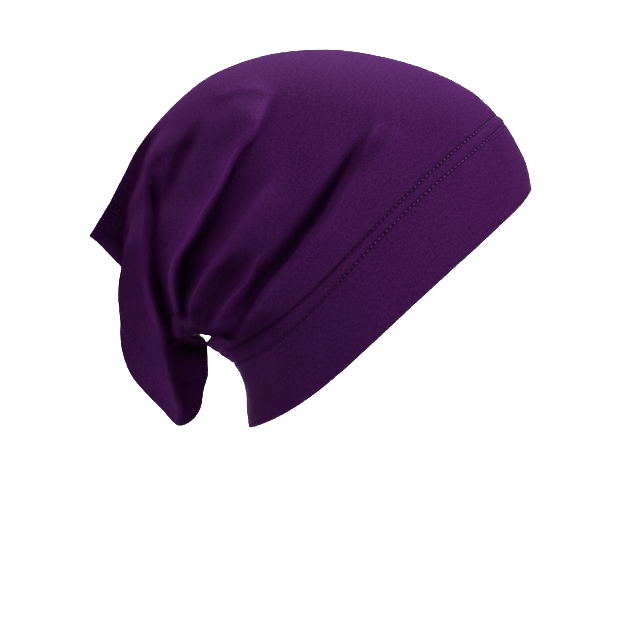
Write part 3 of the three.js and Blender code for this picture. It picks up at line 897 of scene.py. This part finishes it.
@dataclass(frozen=True)
class StitchRows:
    """Rows of straight machine stitches that lie in dimples of the cloth, in millimetres.

    Each row is a place along the tube and how much deeper than the rest it is drawn in. A stitch
    tapers and dips towards its ends, and stands out by the rises at the levels given.
    """

    name: str
    slot: str
    rows: tuple[tuple[float, float], ...]
    finish: ThreadFinish
    pitch: float = 3.1
    length: float = 1.9
    radius: float = 0.26
    taper: float = 0.6
    dip: float = 0.3
    cut: float = 0.3
    rise_levels: tuple[float, float] = (-150, -60)
    rises: tuple[float, float] = (-0.12, 0.16)
    sides: int = 6
    samples: int = 1600
    window: float = 0.12
    window_rows: int = 9

    def build(self, tube: ClothTube) -> bpy.types.Object:
        """Make all the stitches as one object, each a copy of one stitch.

        Args:
            tube: the cloth that they hold.

        Returns:
            The object.
        """
        bead, quads = self.stitch()
        verts = []
        faces = []
        for row, sunk in self.rows:
            for start, end, up in self.stations(tube, row, sunk):
                along = unit(end - start)
                axes = np.stack([np.cross(up, along), along, up])
                faces += [[corner + len(bead) * len(verts) for corner in quad] for quad in quads]
                verts.append((start + end) / 2 + bead @ axes)
        piece = new_object(self.name, np.concatenate(verts) * MM, faces)
        piece.data.materials.append(self.finish.material())
        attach(piece, "root")
        log.info("%s: %d stitches", self.name, len(verts))
        return piece

    def stations(self, tube: ClothTube, row: float, sunk: float) -> list[tuple[np.ndarray, ...]]:
        """Place the stitches of a row.

        Args:
            tube: the cloth.
            row: the row's place along the tube.
            sunk: how much deeper than the rest the row lies.

        Returns:
            For each stitch its start, its end and its outward normal.
        """
        angles = np.linspace(-math.pi, math.pi, self.samples, endpoint=False)
        places = row + np.linspace(-self.window, self.window, self.window_rows)
        grid, _ = tube.cloth(places, angles)
        middle = self.window_rows // 2
        line = grid[middle]
        normals = grid_normals(grid)[middle]
        run = np.linalg.norm(np.roll(line, -1, axis=0) - line, axis=-1)
        reach = np.concatenate([[0], np.cumsum(run)])
        loop = np.vstack([line, line[:1]])
        loop_normals = np.vstack([normals, normals[:1]])
        count = int(reach[-1] / self.pitch)
        starts = np.arange(count) * reach[-1] / count

        def at(values: np.ndarray, where: np.ndarray) -> np.ndarray:
            """Rows of values at lengths along the row of stitches."""
            return np.stack([np.interp(where, reach, column) for column in values.T], axis=-1)

        first = at(loop, starts)
        last = at(loop, starts + self.length)
        up = unit(at(loop_normals, starts + self.length / 2))
        rise = np.interp(first[:, 2], self.rise_levels, self.rises)[:, None] - sunk
        return list(zip(first + up * rise, last + up * rise, up))

    def stitch(self) -> tuple[np.ndarray, list[tuple[int, ...]]]:
        """Model one stitch along Y: a bead of thread whose two ends dip into the cloth.

        Returns:
            Its corners in millimetres and its faces.
        """
        bpy.ops.object.select_all(action="DESELECT")
        bpy.ops.mesh.primitive_cylinder_add(vertices=self.sides, radius=self.radius, depth=self.length,
                                            rotation=(math.pi / 2, 0, 0))
        bead = bpy.context.object
        bpy.ops.object.transform_apply(rotation=True)
        bpy.ops.object.mode_set(mode="EDIT")
        for share in (0, -self.cut, self.cut):
            bpy.ops.mesh.select_all(action="SELECT")
            bpy.ops.mesh.bisect(plane_co=(0, share * self.length, 0), plane_no=(0, 1, 0))
        bpy.ops.object.mode_set(mode="OBJECT")
        corners = np.array([corner.co for corner in bead.data.vertices])
        faces = [tuple(face.vertices) for face in bead.data.polygons]
        bpy.data.objects.remove(bead)
        off_middle = (2 * corners[:, 1] / self.length) ** 2
        corners[:, 0] *= 1 - self.taper * off_middle
        corners[:, 2] = corners[:, 2] * (1 - self.taper * off_middle) - self.dip * off_middle
        return corners, faces


@dataclass
class ClothPiece:
    """A stretch of the tube that is a piece of cloth of its own, with an outer and an inner face.

    Its spacings and reaches are in millimetres, and its wall and flat size in metres. The rows are
    laid by lengths measured on a probe grid of the smooth tube.
    """

    name: str
    node: str
    slot: str
    first: float
    last: float
    wall: float
    flat: tuple[float, float]
    held: Held
    starts: Edge
    ends: Edge
    finish: JerseyFinish
    stitches: StitchRows | None = None
    spacing: float = 1.5
    fine_spacing: float = 0.6
    fine_reach: float = 2.5
    probe_rows: int = 1200
    probe_angles: tuple[float, ...] = (0, 60, 90, 120, 180)
    columns: int = 360
    low_bias: float = 0.3
    inner_every: int = 3
    even_passes: int = 6
    rim_steps: int = 6
    inner_shade: float = 0.4

    def make(self, tube: ClothTube) -> None:
        """Make the cloth and what is sewn to it.

        Args:
            tube: the cloth that it is cut from.
        """
        made = self.build(tube)
        sewn = [self.stitches.build(tube)] if self.stitches else []

    def places(self, tube: ClothTube) -> np.ndarray:
        """Choose where the rows of the outer face lie.

        Args:
            tube: the cloth.

        Returns:
            Their places along the tube, closer together beside the stitches.
        """
        fine = np.linspace(self.first, self.last, self.probe_rows)
        angles = np.radians(self.probe_angles)
        grid = tube.smooth(*np.meshgrid(fine, angles, indexing="ij"))
        run = np.linalg.norm(np.diff(grid, axis=0), axis=-1).max(axis=1)
        middle = (fine[1:] + fine[:-1]) / 2
        per_place = run / (fine[1] - fine[0])
        step = np.full(len(middle), self.spacing)
        for place, _ in tube.stitch_rows:
            near = np.abs(middle - place) * per_place < self.fine_reach
            step = np.where(near, self.fine_spacing, step)
        count = np.concatenate([[0], np.cumsum(run / step)])
        rows = int(round(count[-1]))
        rows += (-rows) % self.inner_every
        return np.interp(np.linspace(0, count[-1], rows + 1), count, fine)

    def build(self, tube: ClothTube) -> bpy.types.Object:
        """Make the piece from the tube, with its finish.

        Args:
            tube: the cloth that it is cut from.

        Returns:
            The object.
        """
        places = self.places(tube)
        even = np.linspace(-math.pi, math.pi, self.columns, endpoint=False)
        angles = even + self.low_bias * np.sin(even)
        outer, painted_shade_and_highlight = tube.cloth(places, angles)
        normals = self.smoothed(grid_normals(outer))
        inner_rows = np.arange(0, len(places), self.inner_every)[::-1]
        inner = outer[inner_rows] - normals[inner_rows] * (self.wall / MM)
        layers = [outer, *self.rim(outer[-1], inner[0], outer[-2], self.ends), inner,
                  *self.rim(inner[-1], outer[0], outer[1], self.starts)]
        grid = np.concatenate(layers)
        # The inner face and the turned rims get inner_shade as painted shade; the outer face gets its
        # own painted shade and highlight.
        shade = np.full(grid.shape[:2], -self.inner_shade)
        shade[:len(painted_shade_and_highlight)] = painted_shade_and_highlight
        piece = new_object(self.name, grid.reshape(-1, 3) * MM, ring_faces(len(grid), self.columns))
        self.lay_coordinates(piece, grid)
        # The attribute carries painted shade below 0 and painted highlight above 0.
        marks = piece.data.attributes.new("painted_shade_and_highlight", "FLOAT", "POINT")
        marks.data.foreach_set("value", shade.ravel())
        self.sharpen(piece, len(outer), len(grid) - len(outer))
        piece.data.materials.append(self.finish.material())
        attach(piece, "root")
        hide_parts(self.node)
        log.info("%s: %d faces", self.name, len(piece.data.polygons))
        return piece

    def smoothed(self, normals: np.ndarray) -> np.ndarray:
        """Even the normals out over their neighbours, for the inner face.

        Args:
            normals: a grid of unit vectors whose rows close.

        Returns:
            The evened grid.
        """
        for _ in range(self.even_passes):
            padded = np.concatenate([normals[:1], normals, normals[-1:]])
            normals = padded[:-2] + padded[2:] + 2 * normals
            normals = unit(normals + np.roll(normals, 1, axis=1) + np.roll(normals, -1, axis=1))
        return normals

    def rim(self, start: np.ndarray, end: np.ndarray, before: np.ndarray,
            edge: Edge) -> list[np.ndarray]:
        """Lay the rows that close the cloth from one face to the other.

        Args:
            start: the last row of the face that is left.
            end: the first row of the face that follows.
            before: the outer row next to the edge, which says where the cloth comes from.
            edge: whether the edge is turned, with a round fold, or ends in a seam.

        Returns:
            The rows between them, none for a seam.
        """
        if edge is Edge.SEAM:
            return []
        out = unit((start + end) / 2 - before)
        middle = (start + end) / 2
        half = (start - end) / 2
        radius = np.linalg.norm(half, axis=-1, keepdims=True)
        turns = np.linspace(0, math.pi, self.rim_steps + 2)[1:-1]
        return [(middle + half * math.cos(t) + out * radius * math.sin(t))[None] for t in turns]

    def lay_coordinates(self, piece: bpy.types.Object, grid: np.ndarray) -> None:
        """Give the piece cloth coordinates in metres: round the tube, then along it.

        Args:
            piece: the piece, whose faces are those of ring_faces.
            grid: its points, row by row.
        """
        rows, columns = grid.shape[:2]
        around = np.linalg.norm(np.roll(grid, -1, axis=1) - grid, axis=-1)
        u = np.concatenate([np.zeros((rows, 1)), np.cumsum(around, axis=1)], axis=1)
        u -= u[:, columns // 2][:, None]
        along = np.linalg.norm(np.diff(grid, axis=0), axis=-1)
        v = np.vstack([np.zeros(columns), np.cumsum(along, axis=0)])
        v = np.vstack([v, v[-1] + np.linalg.norm(grid[0] - grid[-1], axis=-1)])
        v = np.concatenate([v, v[:, :1]], axis=1)
        u = np.vstack([u, u[:1]])
        i, j = np.meshgrid(np.arange(rows), np.arange(columns), indexing="ij")
        i, j = i.ravel(), j.ravel()
        corners = [(i, j), (i + 1, j), (i + 1, j + 1), (i, j + 1)]
        uv = np.stack([np.stack([u[a, b], v[a, b]], -1) for a, b in corners], axis=1) * MM
        layer = piece.data.uv_layers.new(name="cloth")
        layer.data.foreach_set("uv", uv.reshape(-1))

    def sharpen(self, piece: bpy.types.Object, outer_rows: int, rest: int) -> None:
        """Keep the edges at a seam sharp.

        Args:
            piece: the piece.
            outer_rows: how many rows its outer face has.
            rest: how many rows follow them.
        """
        rows = []
        if self.ends is Edge.SEAM:
            rows += [outer_rows - 1, outer_rows]
        if self.starts is Edge.SEAM:
            rows += [0, outer_rows + rest - 1]
        pairs = np.empty(len(piece.data.edges) * 2, int)
        piece.data.edges.foreach_get("vertices", pairs)
        at = pairs.reshape(-1, 2) // self.columns
        sharp = (at[:, 0] == at[:, 1]) & np.isin(at[:, 0], rows)
        marks = piece.data.attributes.new("sharp_edge", "BOOLEAN", "EDGE")
        marks.data.foreach_set("value", sharp)


@dataclass
class FrontBand(ClothPiece):
    """The wide band at the front: two layers, turned at the rim and held by two rows."""

    name: str = "band_cloth"
    node: str = "front_band"
    slot: str = "band_jersey"
    first: float = FRONT_RIM
    last: float = BAND_SEAM
    wall: float = 1.7 * MM
    flat: tuple[float, float] = (0.57, 0.05)
    held: Held = Held.STRETCHED
    starts: Edge = Edge.TURNED
    ends: Edge = Edge.SEAM
    finish: JerseyFinish = JerseyFinish("band jersey")
    stitches: StitchRows | None = StitchRows(
        "band_stitches", "band_jersey", ((BAND_STITCH, 0.0), (BAND_SEAM, 0.14)),
        ThreadFinish("thread"))


@dataclass
class Crown(ClothPiece):
    """The crown: one layer from the band's seam to the tail's."""

    name: str = "crown_cloth"
    node: str = "crown_tube"
    slot: str = "crown_jersey"
    first: float = BAND_SEAM
    last: float = TAIL_SEAM
    wall: float = 1.0 * MM
    flat: tuple[float, float] = (0.46, 0.2)
    held: Held = Held.STRETCHED
    starts: Edge = Edge.SEAM
    ends: Edge = Edge.SEAM
    finish: JerseyFinish = JerseyFinish("crown jersey")


@dataclass
class TailHem(ClothPiece):
    """The hem of the open tail: two layers, turned at the rim and held by one row."""

    name: str = "hem_cloth"
    node: str = "tail_hem"
    slot: str = "hem_jersey"
    first: float = TAIL_SEAM
    last: float = TAIL_RIM
    wall: float = 1.7 * MM
    flat: tuple[float, float] = (0.3, 0.025)
    held: Held = Held.HUNG
    starts: Edge = Edge.SEAM
    ends: Edge = Edge.TURNED
    finish: JerseyFinish = JerseyFinish("hem jersey")
    stitches: StitchRows | None = StitchRows(
        "hem_stitches", "hem_jersey", ((TAIL_SEAM, 0.0),),
        ThreadFinish("dull thread", (0.1, 0.03, 0.14)))


@dataclass(frozen=True)
class Lamp:
    """A soft rectangular white light, with its place and size in metres and its beam in radians."""

    name: str
    place: tuple[float, float, float]
    size: tuple[float, float]
    watts: float
    aim: tuple[float, float, float] = (0, 0, -0.1)
    spread: float = math.pi

    def hang(self) -> None:
        """Add the light to the scene, turned to what it aims at."""
        data = bpy.data.lights.new(self.name, "AREA")
        data.shape = "RECTANGLE"
        data.size, data.size_y = self.size
        data.energy = self.watts
        data.spread = self.spread
        lamp = bpy.data.objects.new(self.name, data)
        lamp.location = self.place
        turn = Vector(self.aim) - Vector(self.place)
        lamp.rotation_euler = turn.to_track_quat("-Z", "Y").to_euler()
        bpy.context.scene.collection.objects.link(lamp)


@dataclass
class Studio:
    """The pale sheet, the lights and the camera of the photograph's view, in metres."""

    floor: float = -0.9
    depth: float = 2.6
    front: float = -3.0
    width: float = 10.0
    wall_height: float = 4.0
    bend: float = 0.8
    bend_steps: int = 16
    pale: float = 0.9
    paper_roughness: float = 0.9
    ambience: float = 0.03
    camera_distance: float = 2.2
    camera_height: float = -0.1554
    photo_pixels: int = 640
    mm_per_pixel: float = 0.58
    sensor: float = 36.0
    lamps: tuple[Lamp, ...] = (
        Lamp("key", (0.3, -0.65, 1.2), (0.5, 0.4), 9.4),
        Lamp("crown", (-0.05, 0.45, 0.85), (0.6, 0.4), 13.6),
        Lamp("fill", (-0.5, -1.6, 0.1), (1.0, 1.0), 5),
        Lamp("front", (1.1, -0.45, 0.4), (0.6, 0.6), 8),
        Lamp("wall", (0.0, 1.5, 1.3), (2.4, 0.6), 90, aim=(0, 2.6, -0.15), spread=1.0),
    )

    def build(self) -> None:
        """Set up the stage."""
        self.backdrop()
        self.ambient()
        for lamp in self.lamps:
            lamp.hang()
        self.camera()

    def backdrop(self) -> None:
        """Model a pale sheet: flat floor, then a curve up into a wall behind."""
        bpy.ops.object.select_all(action="DESELECT")
        middle = (self.depth + self.front) / 2
        bpy.ops.mesh.primitive_plane_add(size=1, location=(0, middle, self.floor))
        sheet = bpy.context.object
        sheet.name = "backdrop"
        sheet.scale = (self.width, self.depth - self.front, 1)
        bpy.ops.object.transform_apply(location=True, rotation=True, scale=True)
        self.pick_rear(sheet.data)
        bpy.ops.object.mode_set(mode="EDIT")
        bpy.ops.mesh.extrude_region_move(TRANSFORM_OT_translate={"value": (0, 0, self.wall_height)})
        bpy.ops.object.mode_set(mode="OBJECT")
        self.pick_rear(sheet.data)
        bpy.ops.object.mode_set(mode="EDIT")
        bpy.ops.mesh.bevel(offset=self.bend, segments=self.bend_steps, affect="EDGES")
        bpy.ops.object.mode_set(mode="OBJECT")
        bpy.ops.object.shade_smooth()
        sheet.data.materials.append(self.paper())

    def pick_rear(self, mesh: bpy.types.Mesh) -> None:
        """Select nothing but the floor's rear edge.

        Args:
            mesh: the sheet's mesh.
        """
        for part in (*mesh.edges, *mesh.polygons):
            part.select = False
        for corner in mesh.vertices:
            rear = math.isclose(corner.co.y, self.depth, abs_tol=MM)
            corner.select = rear and math.isclose(corner.co.z, self.floor, abs_tol=MM)

    def paper(self) -> bpy.types.Material:
        """Make the sheet's matt paper, which glows for the camera alone and lights nothing.

        Returns:
            The material.
        """
        material = bpy.data.materials.new("backdrop")
        material.use_nodes = True
        nodes = material.node_tree.nodes
        shader = nodes["Principled BSDF"]
        shader.inputs["Base Color"].default_value = (self.pale, self.pale, self.pale, 1)
        shader.inputs["Emission Color"].default_value = (self.pale, self.pale, self.pale, 1)
        shader.inputs["Roughness"].default_value = self.paper_roughness
        seen = nodes.new("ShaderNodeLightPath").outputs["Is Camera Ray"]
        material.node_tree.links.new(seen, shader.inputs["Emission Strength"])
        return material

    def ambient(self) -> None:
        """Set dim even light from all round, pale where the camera sees past the sheet."""
        world = bpy.data.worlds.new("studio")
        bpy.context.scene.world = world
        world.use_nodes = True
        build = NodeBuilder(world.node_tree)
        background = world.node_tree.nodes["Background"]
        background.inputs["Color"].default_value = (1, 1, 1, 1)
        seen = build.add("ShaderNodeLightPath", {}).outputs["Is Camera Ray"]
        strength = build.calc("MULTIPLY_ADD", seen, self.pale, self.ambience)
        build.put(background.inputs["Strength"], strength)

    def camera(self) -> None:
        """Set the camera of the photograph's view, level and square to the near side."""
        data = bpy.data.cameras.new("camera")
        data.sensor_width = self.sensor
        seen = self.photo_pixels * self.mm_per_pixel * MM
        data.lens = self.sensor * self.camera_distance / seen
        camera = bpy.data.objects.new("camera", data)
        camera.location = (0, -self.camera_distance, self.camera_height)
        camera.rotation_euler = (math.pi / 2, 0, 0)
        bpy.context.scene.collection.objects.link(camera)
        bpy.context.scene.camera = camera


def main() -> None:
    """Build the cap and its stage."""
    logging.basicConfig(level=logging.INFO, format="%(message)s")
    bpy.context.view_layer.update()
    tube = ClothTube()
    for piece in (FrontBand(), Crown(), TailHem()):
        piece.make(tube)
    Studio().build()
    bpy.context.scene.view_settings.view_transform = "Standard"
    log.info("sizes written")


if __name__ == "__main__":
    main()
